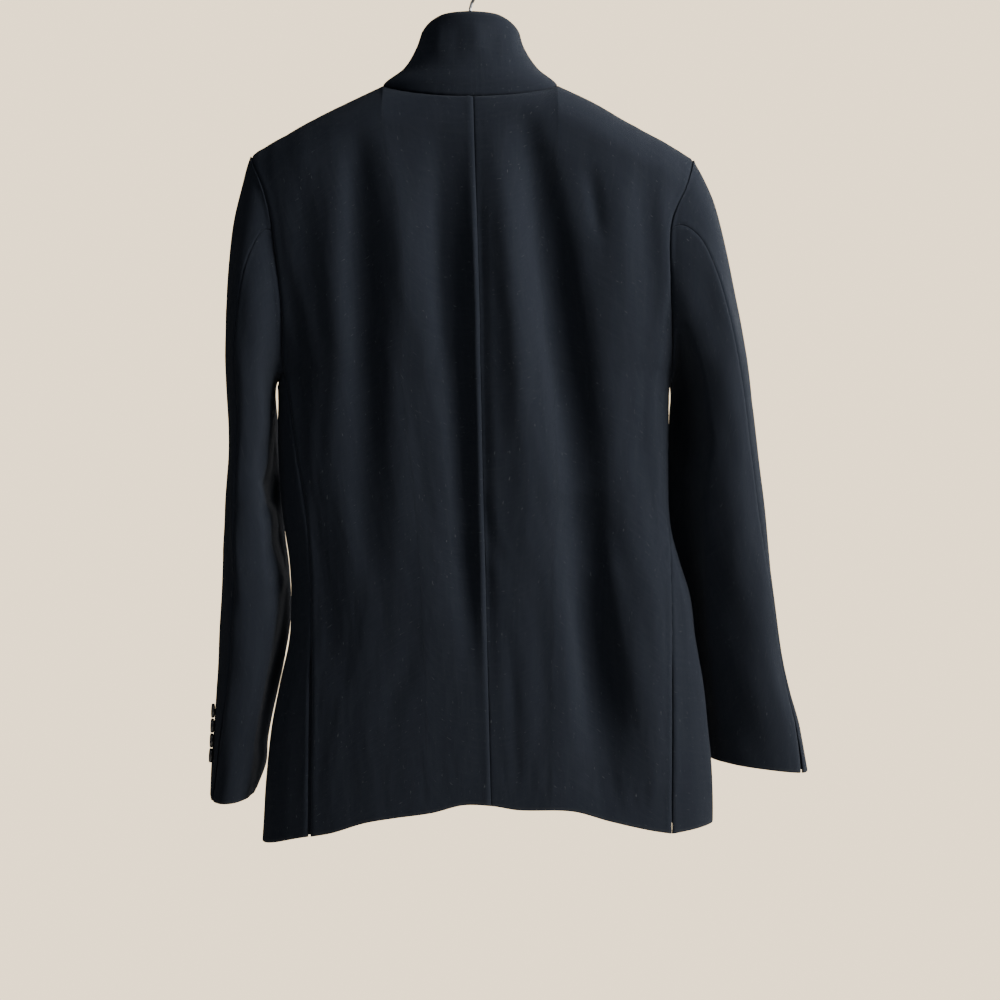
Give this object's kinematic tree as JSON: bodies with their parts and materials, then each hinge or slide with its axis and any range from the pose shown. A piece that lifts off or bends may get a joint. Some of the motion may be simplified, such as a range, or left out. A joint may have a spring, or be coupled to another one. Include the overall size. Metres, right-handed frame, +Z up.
{
  "type": "sport coat on a hanger",
  "caption": "Men's sport coat hung on a plain hanger, its collar turned up, with side vents and open cuffs.",
  "frame": {"origin": "inside top of the hanger's hook, where a rail carries it", "axes": "+Z up, the coat's front towards -Y and its back towards +Y, +X the wearer's left"},
  "size_m": [0.623, 0.142, 0.9247],
  "materials": {
    "coat_cloth": "dark navy plain-weave wool with fine lighter flecks and a soft nap",
    "buttons": "polished dark resin",
    "hanger_arms": "moulded black",
    "hook_wire": "bright wire"
  },
  "bodies": {
    "root": {"back_left": "coat_cloth", "back_right": "coat_cloth", "side_panel_left": "coat_cloth", "side_panel_right": "coat_cloth", "front_left": "coat_cloth", "front_right": "coat_cloth", "lapel_left": "coat_cloth", "lapel_right": "coat_cloth", "pocket_flap_left": "coat_cloth", "pocket_flap_right": "coat_cloth", "breast_welt": "coat_cloth", "collar": "coat_cloth", "sleeve_top_left": "coat_cloth", "sleeve_under_left": "coat_cloth", "sleeve_top_right": "coat_cloth", "sleeve_under_right": "coat_cloth", "cuff_button_left_1": "buttons", "cuff_button_left_2": "buttons", "cuff_button_left_3": "buttons", "cuff_button_left_4": "buttons", "cuff_button_right_1": "buttons", "cuff_button_right_2": "buttons", "cuff_button_right_3": "buttons", "cuff_button_right_4": "buttons", "front_button_1": "buttons", "front_button_2": "buttons", "hanger_bar": "hanger_arms", "hanger_hook": "hook_wire"}
  },
  "joints": []
}
